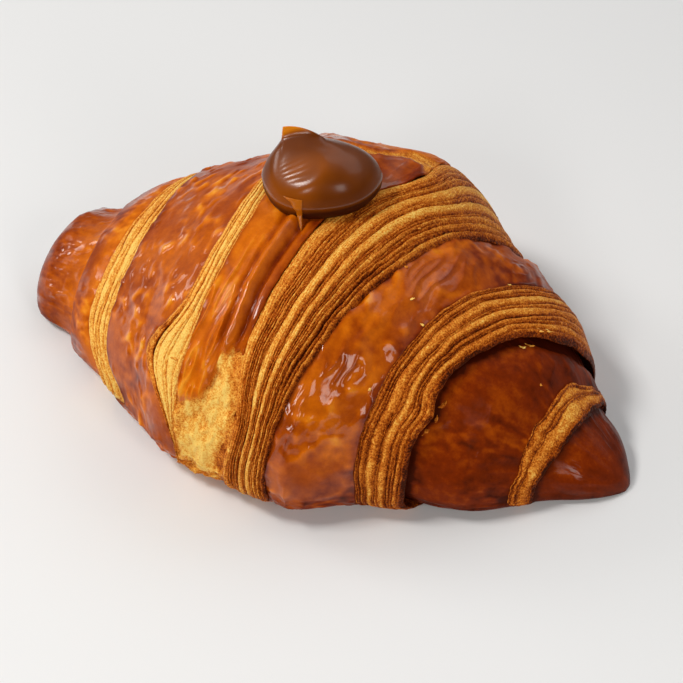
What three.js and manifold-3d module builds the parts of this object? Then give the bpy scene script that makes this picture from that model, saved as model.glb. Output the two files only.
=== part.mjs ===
// A plain butter croissant with one dollop of caramel on its crown.
// Millimetres, Z up. The length runs along X, the front faces -Y, and the flat base lies on z = 0.
// The dough is a triangle rolled up from its wide side, so the tongue of the last turn lies across
// the middle of the crown, and each turn below it shows further out. Every turn shows its smooth
// skin and, along its slanting edge, the thin leaves of the cut dough.

import * as THREE from 'three';
import { mergeVertices } from 'three/addons/utils/BufferGeometryUtils.js';
import Module from 'manifold-3d';

// The loaf: sections across the length, each round above its widest line and full below it.
const leftLength = 78.8; // from the widest section to each end
const rightLength = 80;
const heightPerWidth = 0.515;
const widestLevel = 0.25; // of the section's height
const upperRoundness = 2.1;
const lowerRoundness = 3.5;
const underReach = 1.08; // how far the lower curve would go past the floor that cuts it flat
const leftCurl = 4.5; // how far each end comes forward
const rightCurl = 1;
const endStart = 0.88; // of each length, where the ends begin to close
const endWidth = 0.173; // of the local width, what is left of it at the very end

// Half widths at stations along the length, given as shares of the length to that end.
const stations = [-1, -0.85, -0.65, -0.4, -0.15, 0.15, 0.4, 0.65, 0.85, 1];
const halfWidths = [16.5, 19, 30, 41, 51.8, 51.2, 40.2, 29.5, 13.7, 6];

// Where each turn's edge runs. An edge crosses the crown near `turn` degrees, from `mid` plus
// `reach` on the back to `mid` minus `reach` on the front; a small `ease` makes the crossing sudden.
// Degrees go round a section from the back (0) over the crown (90) to the front (180).
// A `bulge` pulls the edge `by` millimetres along the length around one place on the way.
const edges = {
  knob: { mid: -58.2, reach: -0.5, turn: 110, ease: 1, bulges: [] },
  leftSkin: { mid: -50, reach: 1.5, turn: 85, ease: 0.5, bulges: [{ at: 190, width: 22, by: 7 }] },
  leftFold: { mid: -43.2, reach: -0.6, turn: 90, ease: 0.5, bulges: [{ at: 186, width: 18, by: 9 }] },
  leftLeaves: {
    mid: -21.5,
    reach: -4.5,
    turn: 70,
    ease: 0.4,
    bulges: [{ at: 151, width: 12, by: -9 }, { at: 190, width: 25, by: 6 }],
  },
  tongueLeft: { mid: -16, reach: -4.3, turn: 70, ease: 0.4, bulges: [] },
  tongueRight: { mid: 11, reach: 9.5, turn: 78, ease: 0.25, bulges: [{ at: 163, width: 15, by: 2.5 }] },
  crownFold: { mid: 20.5, reach: 7.6, turn: 108, ease: 1.5, bulges: [{ at: 30, width: 35, by: 6 }] },
  sideLeaves: { mid: 39, reach: 9, turn: 76, ease: 1, bulges: [] },
  sideFold: { mid: 50.3, reach: 10.2, turn: 85, ease: 0.65, bulges: [] },
  tipLeaves: { mid: 62.5, reach: 2.2, turn: 66, ease: 0.4, bulges: [] },
  tipFold: { mid: 65, reach: 1.8, turn: 150, ease: 0.7, bulges: [] },
};

// The bands from the left end to the right one, each running up to the edge it names. `start` and
// `end` are how far the surface stands proud of the loaf at the band's two sides, and `crown`
// swells its middle. A band of leaves has ridges `depth` deep, one for every two steps.
const bands = [
  { to: 'knob', start: 0, end: -1.8, crown: 1.1, steps: 7, depth: 0 },
  { to: 'leftSkin', start: 1, end: -0.4, crown: 0.3, steps: 3, depth: 0 },
  { to: 'leftFold', start: -0.3, end: -0.2, crown: 0.3, steps: 8, depth: 0.5 },
  { to: 'leftLeaves', start: 0.5, end: -1.1, crown: 0.8, steps: 6, depth: 0 },
  { to: 'tongueLeft', start: -0.1, end: -0.2, crown: 0.2, steps: 10, depth: 0.5 },
  { to: 'tongueRight', start: 0.5, end: 0.4, crown: 0.1, steps: 5, depth: 0 },
  { to: 'crownFold', start: 0, end: -0.2, crown: 0.2, steps: 16, depth: 0.7 },
  { to: 'sideLeaves', start: -1.4, end: -0.4, crown: 0.9, steps: 5, depth: 0 },
  { to: 'sideFold', start: -0.3, end: 0.9, crown: 0.3, steps: 12, depth: 0.6 },
  { to: 'tipLeaves', start: -2.6, end: -0.5, crown: 0.8, steps: 5, depth: 0 },
  { to: 'tipFold', start: -0.2, end: 0.3, crown: 0.2, steps: 6, depth: 0.5 },
  { to: null, start: -1.6, end: 0, crown: 0.2, steps: 7, depth: 0 },
];
const sidesRound = 56;
const riserHalfWidth = 0.25; // of the steep wall between two bands
const footHeight = 6; // the relief fades out towards the floor below this height
const endFade = 8; // and towards both ends over this length

// The caramel: a rounded mound with a pulled-up peak and a hollow where the spoon left it.
const moundCentre = { x: -2.6, y: 1.6 };
const moundHalfLength = 13.6;
const moundHalfWidth = 11;
const moundHeight = 10.5;
const moundTurn = 30; // degrees from X to its long axis
const moundGap = 0.3; // clear of the crust
const moundRings = 14;
const moundSides = 48;
const crustTop = heightPerWidth * 2 * 52.5;

const degrees = Math.PI / 180;

function fadeBetween(low, high, value) {
  return THREE.MathUtils.smoothstep(value, low, high);
}

// A smooth curve through the stations, with no overshoot: cubic pieces whose slopes are the
// harmonic mean of the slopes on both sides, or zero at a peak.
function widthAlong(share) {
  const last = stations.length - 1;
  const gaps = stations.slice(1).map((x, i) => x - stations[i]);
  const rises = gaps.map((gap, i) => (halfWidths[i + 1] - halfWidths[i]) / gap);
  const slopeAt = (i) => {
    if (i === 0) return rises[0];
    if (i === last) return rises[last - 1];
    if (rises[i - 1] * rises[i] <= 0) return 0;
    return (2 * rises[i - 1] * rises[i]) / (rises[i - 1] + rises[i]);
  };
  let i = 0;
  while (i < last - 1 && share > stations[i + 1]) i += 1;
  const u = THREE.MathUtils.clamp((share - stations[i]) / gaps[i], 0, 1);
  const v = 1 - u;
  return (
    halfWidths[i] * v * v * (1 + 2 * u) +
    halfWidths[i + 1] * u * u * (1 + 2 * v) +
    gaps[i] * (slopeAt(i) * u * v * v - slopeAt(i + 1) * u * u * v)
  );
}

// The point of the crust at a place along the length and an angle round the section, moved
// outward by `proud`.
function crustPoint(along, angle, proud) {
  const length = along < 0 ? leftLength : rightLength;
  const share = along / length;
  const closing = THREE.MathUtils.clamp((Math.abs(share) - endStart) / (1 - endStart), 0, 1);
  const endShare = Math.sqrt(1 - (1 - endWidth * endWidth) * closing * closing);
  const halfWidth = widthAlong(share) * endShare;
  const height = 2 * halfWidth * heightPerWidth;
  const level = widestLevel * height;
  const cos = Math.cos(angle * degrees);
  const sin = Math.sin(angle * degrees);
  const roundness = sin > 0 ? upperRoundness : lowerRoundness;
  let across = halfWidth * Math.sign(cos) * Math.abs(cos) ** (2 / roundness);
  let rise = Math.abs(sin) ** (2 / roundness);
  rise = sin > 0 ? level + (height - level) * rise : level - level * underReach * rise;
  const outward = Math.hypot(across, rise - level);
  const fade = fadeBetween(0, footHeight, rise) * fadeBetween(0, endFade, length - Math.abs(along));
  const grown = 1 + (proud * fade) / outward;
  across *= grown;
  rise = Math.max(0, level + (rise - level) * grown);
  const curl = share < 0 ? leftCurl : rightCurl;
  const heading = Math.atan2(-2 * curl * share, length);
  return new THREE.Vector3(
    along - Math.sin(heading) * across,
    Math.cos(heading) * across - curl * share * share,
    rise,
  );
}

// Where an edge lies along the length at an angle: a rounded square wave once round the section,
// plus its bulges.
function edgeAt(edge, angle) {
  const wave = Math.sin((angle - edge.turn) * degrees);
  const square = (wave * Math.hypot(1, edge.ease)) / Math.hypot(wave, edge.ease);
  const pulls = edge.bulges.map((bulge) => {
    const away = (((angle - bulge.at + 540) % 360) - 180) / bulge.width;
    return bulge.by * Math.exp(-away * away);
  });
  return edge.mid - edge.reach * square + pulls.reduce((sum, pull) => sum + pull, 0);
}

// Low, slow swellings that keep the crust from being too regular.
function unevenness(along, angle) {
  const a = angle * degrees;
  return (
    0.45 * Math.sin(0.11 * along + 2 * a) +
    0.3 * Math.sin(0.19 * along - 3 * a + 1) +
    0.2 * Math.sin(0.05 * along + 5 * a + 2)
  );
}

// One row of points round the crust for each step of each band, from left to right.
function crustRows(extra) {
  const rows = [];
  bands.forEach((band, index) => {
    const left = index === 0 ? null : edges[bands[index - 1].to];
    const right = band.to === null ? null : edges[band.to];
    for (let step = 0; step <= band.steps; step += 1) {
      const share = step / band.steps;
      const row = [];
      for (let side = 0; side < sidesRound; side += 1) {
        const angle = (side * 360) / sidesRound;
        const a = angle * degrees;
        const begin = left === null ? -leftLength : edgeAt(left, angle) + riserHalfWidth;
        const finish = right === null ? rightLength : edgeAt(right, angle) - riserHalfWidth;
        let place = share;
        if (left === null) place = 1 - Math.cos((share * Math.PI) / 2);
        if (right === null) place = Math.sin((share * Math.PI) / 2);
        const ridge = step % 2 === 1 ? 0.5 : -0.5;
        const depth = band.depth * (1 + 0.35 * Math.sin(2.3 * step + index + 2 * a));
        const wander = band.depth === 0 ? 0 : (0.25 / band.steps) * Math.sin(1.7 * step + 3 * a);
        const along = begin + (finish - begin) * THREE.MathUtils.clamp(place + wander, 0, 1);
        const slope = band.start + (band.end - band.start) * share;
        const proud = slope + band.crown * Math.sin(share * Math.PI) + depth * ridge;
        row.push(crustPoint(along, angle, proud + unevenness(along, angle) + extra));
      }
      rows.push(row);
    }
  });
  return rows;
}

// A closed skin over rows of points, with a fan at each end.
function closedSkin(rows) {
  const sides = rows[0].length;
  const points = rows.flat();
  const centreOf = (row) => row.reduce((sum, point) => sum.add(point), new THREE.Vector3()).divideScalar(sides);
  points.push(centreOf(rows[0]), centreOf(rows[rows.length - 1]));
  const firstEnd = points.length - 2;
  const secondEnd = points.length - 1;
  const lastRow = (rows.length - 1) * sides;
  const faces = [];
  for (let side = 0; side < sides; side += 1) {
    const next = (side + 1) % sides;
    faces.push(firstEnd, next, side);
    faces.push(secondEnd, lastRow + side, lastRow + next);
    for (let row = 0; row < lastRow; row += sides) {
      faces.push(row + side, row + next, row + sides + next);
      faces.push(row + side, row + sides + next, row + sides + side);
    }
  }
  const geometry = new THREE.BufferGeometry();
  geometry.setAttribute('position', new THREE.Float32BufferAttribute(points.flatMap((p) => p.toArray()), 3));
  geometry.setIndex(faces);
  return geometry;
}

// The mound's rows of points, from its sunken foot up to the crown. Its side bulges out over the
// foot like thick caramel, the peak leans to the back left, and the hollow faces the front.
function moundRows() {
  const rows = [];
  for (let ring = 0; ring < moundRings; ring += 1) {
    const climb = (ring / moundRings) * 125 - 35;
    const spread = Math.cos(climb * degrees) ** 0.8;
    const lift = Math.sin(climb * degrees);
    const row = [];
    for (let side = 0; side < moundSides; side += 1) {
      const a = (side / moundSides) * 2 * Math.PI;
      const u = spread * Math.cos(a);
      const v = spread * Math.sin(a);
      const peak = Math.exp(-(((u + 0.55) / 0.22) ** 2) - ((v - 0.5) / 0.22) ** 2);
      const hollow = Math.exp(-(((u + 0.3) / 0.3) ** 2) - ((v + 0.1) / 0.28) ** 2);
      const raised = lift > 0 ? moundHeight * lift ** 0.9 + 5 * peak - 1.6 * hollow : 0.5 * moundHeight * lift;
      const long = moundHalfLength * u;
      const wide = moundHalfWidth * v;
      const turn = moundTurn * degrees;
      row.push(
        new THREE.Vector3(
          moundCentre.x + long * Math.cos(turn) - wide * Math.sin(turn),
          moundCentre.y + long * Math.sin(turn) + wide * Math.cos(turn),
          crustTop - 0.4 + raised,
        ),
      );
    }
    rows.push(row);
  }
  return rows;
}

const wasm = await Module();
wasm.setup();

function solidOf(geometry) {
  const merged = mergeVertices(geometry, 1e-4);
  const vertProperties = merged.attributes.position.array;
  return new wasm.Manifold(
    new wasm.Mesh({ numProp: 3, vertProperties, triVerts: new Uint32Array(merged.index.array) }),
  );
}

function geometryOf(solid) {
  const mesh = solid.getMesh();
  const geometry = new THREE.BufferGeometry();
  geometry.setAttribute('position', new THREE.Float32BufferAttribute(mesh.vertProperties, 3));
  geometry.setIndex(new THREE.BufferAttribute(mesh.triVerts, 1));
  return geometry;
}

function makeCroissant() {
  const crust = new THREE.MeshStandardMaterial({ color: 0xa8621f, roughness: 0.35, metalness: 0 });
  const mesh = new THREE.Mesh(closedSkin(crustRows(0)), crust);
  mesh.name = 'croissant';
  return mesh;
}

// The mound sits on the crust: the crust, grown by the gap, is cut out of it.
function makeCaramel() {
  const caramel = new THREE.MeshStandardMaterial({ color: 0x743a12, roughness: 0.12, metalness: 0 });
  const mound = solidOf(closedSkin(moundRows()));
  const seat = solidOf(closedSkin(crustRows(moundGap)));
  const mesh = new THREE.Mesh(geometryOf(mound.subtract(seat)), caramel);
  mesh.name = 'caramel_dollop';
  return mesh;
}

// The frame's origin is below the middle of the whole, on the floor.
const part = new THREE.Group();
part.add(makeCroissant(), makeCaramel());
const box = new THREE.Box3().setFromObject(part);
const middle = box.getCenter(new THREE.Vector3());
part.position.set(-middle.x, -middle.y, -box.min.z);
part.updateMatrixWorld(true);

export default part;
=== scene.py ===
import math

import bpy
import numpy as np
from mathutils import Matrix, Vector


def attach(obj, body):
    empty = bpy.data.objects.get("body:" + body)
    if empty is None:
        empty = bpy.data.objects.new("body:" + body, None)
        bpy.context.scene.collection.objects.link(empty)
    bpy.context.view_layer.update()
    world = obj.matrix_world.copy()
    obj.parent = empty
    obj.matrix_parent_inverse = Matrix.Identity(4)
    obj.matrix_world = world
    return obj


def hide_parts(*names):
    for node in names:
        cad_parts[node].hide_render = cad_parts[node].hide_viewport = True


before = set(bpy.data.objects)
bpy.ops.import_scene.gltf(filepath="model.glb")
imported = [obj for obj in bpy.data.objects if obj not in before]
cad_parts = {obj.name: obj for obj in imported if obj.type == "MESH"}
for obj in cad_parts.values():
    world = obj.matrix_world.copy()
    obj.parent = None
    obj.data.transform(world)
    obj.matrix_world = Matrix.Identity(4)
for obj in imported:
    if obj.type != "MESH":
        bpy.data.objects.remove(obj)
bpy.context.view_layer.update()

# The dough is worked out in millimetres round its own middle and put into metres at the end.
MM = 0.001
FRAME_SHIFT = np.array([-0.451, -0.333, 0.0])

# The loaf, as in the frame: lengths to both ends, and sections that are round above their widest
# line and full below it.
LEFT_LENGTH = 78.8
RIGHT_LENGTH = 80.0
HEIGHT_PER_WIDTH = 0.515
WIDEST_LEVEL = 0.25
UPPER_ROUNDNESS = 2.1
LOWER_ROUNDNESS = 3.5
UNDER_REACH = 1.08
LEFT_CURL = 4.5
RIGHT_CURL = 1.0
END_START = 0.88
END_WIDTH = 0.173
STATIONS = np.array([-1, -0.85, -0.65, -0.4, -0.15, 0.15, 0.4, 0.65, 0.85, 1])
HALF_WIDTHS = np.array([16.5, 19, 30, 41, 51.8, 51.2, 40.2, 29.5, 13.7, 6])
FOOT_HEIGHT = 4.0
END_FADE = 8.0
GIRTH = 280.0  # about once round the widest section
NOISE_COLUMNS = 1400

# Each edge crosses the crown near `turn` degrees, from mid + reach on the back to mid - reach on
# the front; a bulge (at, width, by) pulls it along the length round one place.
EDGES = {
    "knob": dict(mid=-58.2, reach=-0.5, turn=110, ease=1.0, bulges=[]),
    "left_skin": dict(mid=-50.0, reach=1.5, turn=85, ease=0.5, bulges=[(190, 22, 7)]),
    "left_fold": dict(mid=-43.2, reach=-0.6, turn=90, ease=0.5, bulges=[(186, 18, 9)]),
    "left_leaves": dict(mid=-21.5, reach=-4.5, turn=70, ease=0.4, bulges=[(151, 12, -9), (190, 25, 6)]),
    "tongue_left": dict(mid=-16.0, reach=-4.3, turn=70, ease=0.4, bulges=[]),
    "tongue_right": dict(mid=11.0, reach=9.5, turn=78, ease=0.25, bulges=[(163, 15, 2.5), (38, 34, -10)]),
    "crown_fold": dict(mid=20.5, reach=7.6, turn=108, ease=1.5, bulges=[(30, 35, 6)]),
    "side_leaves": dict(mid=39.0, reach=9.0, turn=76, ease=1.0, bulges=[]),
    "side_fold": dict(mid=50.3, reach=10.2, turn=85, ease=0.65, bulges=[(139, 6, 1.5)]),
    "tip_leaves": dict(mid=62.5, reach=2.2, turn=66, ease=0.4, bulges=[]),
    "tip_fold": dict(mid=65.0, reach=1.8, turn=150, ease=0.7, bulges=[(270, 40, 1.9)]),
}


def smooth(low, high, value):
    """Zero below `low`, one above `high`, and t * t * (3 - 2 t) between them."""
    t = np.clip((np.asarray(value, float) - low) / (high - low), 0, 1)
    return t * t * (3 - 2 * t)


def bell(value, middle, width):
    """A bell curve: e to the minus square of the distance from the middle over the width."""
    return np.exp(-(((value - middle) / width) ** 2))


def window(value, opens, closes):
    """Zero outside and one inside: it rises over the pair `opens` and falls over the pair `closes`."""
    return smooth(*opens, value) * (1 - smooth(*closes, value))


def noise(x, angle, cell, cell_round, seed):
    """Gradient noise from about -1 to 1 that closes round the section.

    Each corner of a lattice, `cell` wide along x and `cell_round` millimetres round the loaf, has a
    random slope; the four planes round a point are blended by 6t^5 - 15t^4 + 10t^3. The lattice
    repeats after NOISE_COLUMNS cells, far past the loaf's ends.
    """
    around = max(3, int(round(GIRTH / cell_round)))
    x, angle = np.broadcast_arrays(np.asarray(x, float), np.asarray(angle, float))
    u = x / cell + NOISE_COLUMNS / 2 + 0.37
    v = (angle % 360) / 360 * around
    iu = np.floor(u).astype(int)
    iv = np.floor(v).astype(int)
    fu = u - iu
    fv = v - iv
    slopes = np.random.default_rng(seed).uniform(0, 2 * np.pi, (NOISE_COLUMNS, around))
    du = np.cos(slopes)
    dv = np.sin(slopes)

    def plane(step_u, step_v):
        """The plane through one corner: its slope times the way from it."""
        i = (iu + step_u) % NOISE_COLUMNS
        j = (iv + step_v) % around
        return du[i, j] * (fu - step_u) + dv[i, j] * (fv - step_v)

    blend_u = fu ** 3 * (fu * (fu * 6 - 15) + 10)
    blend_v = fv ** 3 * (fv * (fv * 6 - 15) + 10)
    near = plane(0, 0) * (1 - blend_u) + plane(1, 0) * blend_u
    far = plane(0, 1) * (1 - blend_u) + plane(1, 1) * blend_u
    return 1.5 * (near * (1 - blend_v) + far * blend_v)


def width_along(share):
    """Half width at a share of the length: cubic pieces through the stations, whose slopes are the
    harmonic mean of the slopes on both sides, or zero at a peak."""
    gaps = np.diff(STATIONS)
    rises = np.diff(HALF_WIDTHS) / gaps
    before, after = rises[:-1], rises[1:]
    same = before * after > 0
    inner = np.where(same, 2 * before * after / np.where(same, before + after, 1), 0)
    slopes = np.concatenate([rises[:1], inner, rises[-1:]])
    i = np.clip(np.searchsorted(STATIONS, share) - 1, 0, len(gaps) - 1)
    u = np.clip((share - STATIONS[i]) / gaps[i], 0, 1)
    v = 1 - u
    ends = HALF_WIDTHS[i] * v * v * (1 + 2 * u) + HALF_WIDTHS[i + 1] * u * u * (1 + 2 * v)
    return ends + gaps[i] * (slopes[i] * u * v * v - slopes[i + 1] * u * u * v)


def crust_points(along, angle, proud, sink=0.0):
    """Points of the crust in millimetres, as an array with x, y, z last.

    A section is a superellipse, |across / half|^n + |rise / height|^n = 1, with one n above its
    widest line and another below it, cut flat by the floor. `proud` moves a point straight out from
    the section's heart and fades towards the floor and the ends; `sink` moves it straight in.
    The heart line bends forward with the square of the distance from the middle.
    """
    along, angle, proud, sink = np.broadcast_arrays(along, angle, proud, sink)
    length = np.where(along < 0, LEFT_LENGTH, RIGHT_LENGTH)
    share = np.clip(along / length, -1, 1)
    closing = np.clip((np.abs(share) - END_START) / (1 - END_START), 0, 1)
    half = width_along(share) * np.sqrt(1 - (1 - END_WIDTH ** 2) * closing ** 2)
    height = 2 * half * HEIGHT_PER_WIDTH
    level = WIDEST_LEVEL * height
    cos = np.cos(np.radians(angle))
    sin = np.sin(np.radians(angle))
    power = 2 / np.where(sin > 0, UPPER_ROUNDNESS, LOWER_ROUNDNESS)
    across = half * np.sign(cos) * np.abs(cos) ** power
    climb = np.abs(sin) ** power
    rise = np.where(sin > 0, level + (height - level) * climb, level - level * UNDER_REACH * climb)
    outward = np.maximum(np.hypot(across, rise - level), 1e-3)
    fade = smooth(0, FOOT_HEIGHT, rise) * smooth(0, END_FADE, length - np.abs(along))
    grown = 1 + proud * fade / outward
    rise = np.maximum(0, level + (rise - level) * grown)
    kept = np.clip(1 - sink / outward, 0, 1)
    across = across * grown * kept
    rise = level + (rise - level) * kept
    curl = np.where(share < 0, LEFT_CURL, RIGHT_CURL)
    heading = np.arctan2(-2 * curl * share, length)
    x = along - np.sin(heading) * across
    y = np.cos(heading) * across - curl * share ** 2
    return np.stack([x, y, rise], axis=-1) + FRAME_SHIFT


def edge_line(name, angle):
    """Where a turn's edge lies along the length: mid - reach * square wave, plus its bulges, plus a
    ragged wander of a few tenths of a millimetre."""
    edge = EDGES[name]
    wave = np.sin(np.radians(angle - edge["turn"]))
    square = wave * math.hypot(1, edge["ease"]) / np.hypot(wave, edge["ease"])
    place = edge["mid"] - edge["reach"] * square
    for at, width, by in edge["bulges"]:
        away = ((angle - at + 540) % 360) - 180
        place = place + by * bell(away, 0, width)
    seed = sorted(EDGES).index(name) + 40
    return place + 0.45 * noise(0, angle, 1, 12, seed) + 0.16 * noise(0, angle, 1, 3, seed + 20)


# Single dents and swellings: place along, degrees round, width of each, and how proud.
DENTS = [(-8, 50, 12, 22, -1.0), (14, 38, 9, 22, -0.9), (-49, 190, 6, 16, -1.2), (-5, 195, 12, 14, -1.0),
         (-31, 48, 7, 20, 0.6), (-62, 60, 6, 30, -0.6), (48, 60, 8, 25, -0.6),
         (-13, 44, 8, 16, -1.3), (5, 47, 7, 14, 1.2)]


def unevenness(along, angle):
    """Low, slow swellings: three crossing sine waves, the same as on the frame's solid, and a few
    single dents, each the product of two bell curves."""
    a = np.radians(angle)
    first = 0.45 * np.sin(0.11 * along + 2 * a)
    second = 0.3 * np.sin(0.19 * along - 3 * a + 1)
    swell = first + second + 0.2 * np.sin(0.05 * along + 5 * a + 2)
    for at, turn, wide, round_wide, by in DENTS:
        swell = swell + by * bell(along, at, wide) * bell(angle, turn, round_wide)
    return swell


def angles_round(count):
    """Degrees round a section from the underside, over the back and the crown, to the front: eight
    tenths of the points lie on the part that shows, which runs from 15 below the back to 205."""
    share = np.arange(count) / count
    return np.interp(share, [0, 0.1, 0.9, 1], [-90, -15, 205, 270])[None, :]


# Places round a section in degrees, from -90 at the underside over the back, the crown at 90 and
# the front at 180 to 270: a pair is where something sets in and where it is full.
# The lower front, where skin grows darker towards the foot: deeper browning, partly painted shade.
LOWER_FRONT = (158, 195)
BACK = (92, 62)
GLINTS_OPEN = (110, 128)
GLINTS_CLOSE = (158, 175)
UNDERSIDE_ENDS = (-61, -45)
UNDERSIDE_BEGINS = (225, 241)
END_CALM = 6.0  # millimetres from the loaf's ends in which relief and spots die away


def skin_look(along, angle, share, band):
    """Relief, leafiness, colour level and gloss of smooth, egg-washed skin.

    Relief: slow lumps, folds that run round the loaf along the ridges of a noise, small blisters
    where a fine noise is high, welts and a leathery grain where another noise is high. Colour level:
    from the band's left level to its right one, with patches and mottling, lighter on blisters,
    darker on folds and on the back, darker towards the foot (deeper browning there, partly painted
    shade), and a rim at each edge, which is painted shade where the edge lies in the crevice beside
    a neighbour's lip. Gloss: patches of sheen, raised towards full by `glint` on the part that
    faces the light. All but the levels dies away towards the points of the ends.
    """
    seed = band["seed"]
    bend = 1.5 * noise(along, angle, 8, 10, seed + 2)
    lumps = noise(along, angle, 9, 14, seed) + 0.5 * noise(along, angle, 5, 7, seed + 1)
    folds = 1 - 1.7 * np.abs(noise(along + bend, angle, 3.2, 15, seed + 3))
    folds = np.clip(folds, 0, 1) ** 2.5 * smooth(-0.3, 0.4, noise(along, angle, 12, 20, seed + 4))
    pimples = smooth(0.05, 0.8, noise(along + 0.5 * bend, angle, 2.2, 3.6, seed + 5))
    pimples = pimples * smooth(-0.2, 0.4, noise(along, angle, 9, 13, seed + 6))
    grain = noise(along + 0.3 * bend, angle, 1.5, 2.1, seed + 7)
    bubbles = smooth(-0.1, 0.9, noise(along + 0.3 * bend, angle, 2.6, 3.8, seed + 13))
    rough = smooth(-0.35, 0.3, noise(along, angle, 11, 15, seed + 14))
    away = smooth(0, END_CALM, np.minimum(along + LEFT_LENGTH, RIGHT_LENGTH - along))
    relief = band["lumps"] * lumps + band["folds"] * folds + band["blisters"] * pimples
    long_lumps = smooth(-0.2, 0.9, noise(along + bend, angle, 3, 8, seed + 16))
    fine = band.get("grain", 0.04) * grain
    relief = relief + rough * (1.3 * band["blisters"] * bubbles + fine) + band["welts"] * long_lumps
    patches = noise(along, angle, 8, 12, seed + 8)
    mottle = noise(along, angle, 2.8, 3.4, seed + 9) + 0.5 * noise(along, angle, 1.4, 1.8, seed + 11)
    mottle = mottle * smooth(-0.4, 0.5, noise(along, angle, 14, 20, seed + 12))
    left, right = band["bake_and_shading"]
    # Darker towards the lower front: deeper browning by the foot, partly painted shade.
    level = left + (right - left) * share + band.get("low", 0.12) * smooth(*LOWER_FRONT, angle)
    level = level + band.get("back", 0.08) * smooth(*BACK, angle)
    uneven = band.get("calm", 1.0) * (0.12 * patches - band.get("spots", 0.1) * rough * bubbles)
    bake_and_shading = level + away * (uneven + band["mottle"] * mottle + 0.3 * band["folds"] * folds)
    # Rims: painted shade where a band's edge lies in the crevice beside a neighbour's lip.
    for at, width, by in band.get("rims", ()):
        bake_and_shading = bake_and_shading + by * bell(share, at, width)
    sheen = smooth(-0.2, 0.35, noise(along, angle, 7, 11, seed + 15)) * (0.3 + 0.7 * rough)
    gloss = 0.14 + 0.86 * (0.4 + (sheen - 0.4) * away)
    gloss = gloss + band.get("glint", 0) * window(angle, GLINTS_OPEN, GLINTS_CLOSE) * (1 - gloss)
    gloss = gloss * band["shine"]
    return relief * away, np.zeros_like(relief), bake_and_shading, gloss


LEAST_LEAF = 0.004  # least width of a leaf, as a share of the way across


def leaf_look(along, angle, share, band):
    """Relief, leafiness, colour level and gloss of the cut edge of the dough, a stack of leaves.

    Each leaf has a width and a tone, and each line between two leaves strays by a noise of its own.
    The share of the way across, moved by slow noise, tells the leaf and the place on it. A leaf is
    a rounded crest, higher the wider it is, with fine threads and pits on it, and a narrow gap at
    each side. Its colour holds painted light: darker in the gaps, in the pits and towards its
    right-hand side as painted shade, paler on broad crests as a painted highlight. A crevice is a
    deep, narrow bell over part of the way round, coloured darker as painted shade, and a toasted
    stretch is a wider bell that bakes darker or lighter and stands a little proud.
    """
    seed = band["seed"]
    widths, tones = np.array(band["leaves"]).T
    borders = np.concatenate([[0], np.cumsum(widths)]) / widths.sum()
    span = np.abs(along[-1:] - along[:1])
    wander = 0.035 * noise(share * 2.5, angle, 1, 34, seed) * np.sin(np.pi * share) ** 0.5
    place = np.clip(share + wander, 0, 1)
    lines = [np.zeros_like(span)]
    for number, at in enumerate(borders[1:-1]):
        stray = 0.7 * noise(number * 7.7, angle, 1, 24, seed + 11)
        stray = stray + 0.24 * noise(number * 3.1, angle, 1, 8, seed + 12)
        shift = min(widths[number], widths[number + 1]) / widths.sum()
        lines.append(np.maximum(lines[-1] + LEAST_LEAF, at + shift * stray))
    lines.append(np.maximum(lines[-1] + LEAST_LEAF, 1.0 + 0 * span))
    phase = sum(np.clip((place - low) / (high - low), 0, 1) for low, high in zip(lines, lines[1:]))
    phase = np.clip(phase, 0, len(widths) - 1e-3)
    leaf = np.floor(phase).astype(int)
    f = phase - leaf
    sizes = np.concatenate([high - low for low, high in zip(lines, lines[1:])])
    wide = np.take_along_axis(sizes, leaf, axis=0) * span
    line = np.round(phase)
    opening = 0.14 + 0.06 * noise(line * 3.3, angle, 1, 12, seed + 5)
    strength = np.clip(0.75 + 0.8 * noise(line * 2.9, angle, 1, 16, seed + 6), 0.1, 1.3)
    gap = strength * np.exp(-((np.minimum(f, 1 - f) * wide / opening) ** 2))
    broad = smooth(0.3, 1.9, wide)
    crest = 1 - np.abs(2 * f - 1) ** 2.4
    level = noise(leaf * 5.17, angle, 1, 22, seed + 4)
    threads = np.sin(2 * np.pi * (place * span / 0.62 + 0.8 * noise(along, angle, 3, 12, seed + 7)))
    threads = threads * smooth(0.9, 1.8, wide)
    pits = smooth(0.15, 0.8, noise(along, angle, 0.7, 2.6, seed + 9))
    tilt = (f - 0.5) * band["outward"] * 0.35
    relief = band["depth"] * (crest * (0.3 + 0.7 * broad) + tilt + 0.5 * level - 0.5 * gap)
    relief = relief + 0.08 * threads - 0.14 * pits
    tone = noise(leaf * 7.31, angle, 1, 26, seed + 2) + 0.5 * noise(leaf * 4.7, angle, 1, 8, seed + 3)
    bake_and_shading = band["bake_and_shading"] + tones[leaf] + 0.12 * tone
    # Painted light: darker in the gaps and towards each leaf's right-hand side as painted shade, paler on
    # broad crests as a painted highlight; the pits below are darker as painted shade.
    bake_and_shading = bake_and_shading + band["lines"] * gap - 0.14 * crest * broad + 0.12 * (f - 0.5)
    bake_and_shading = bake_and_shading - 0.07 * threads + 0.1 * pits + 0.08 * noise(along, angle, 1.6, 4, seed + 8)
    for at, first, last, deep in band.get("shaded_crevices", ()):
        middle = at + 0.012 * noise(0, angle, 1, 12, seed + 30)
        cut = bell(share, middle, 0.024) * window(angle, (first, first + 10), (last - 10, last))
        relief = relief - deep * cut
        # The crevice is coloured darker too: painted shade.
        bake_and_shading = bake_and_shading + 0.45 * cut
    for at, width, first, last, by in band.get("toasted", ()):
        toasted = bell(share, at, width) * window(angle, (first, first + 12), (last - 12, last))
        bake_and_shading = bake_and_shading + by * toasted * (0.7 + 0.9 * noise(along, angle, 1.6, 2.6, seed + 31))
        relief = relief + 0.35 * toasted
    return relief, np.ones_like(relief), bake_and_shading, np.zeros_like(relief)


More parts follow.
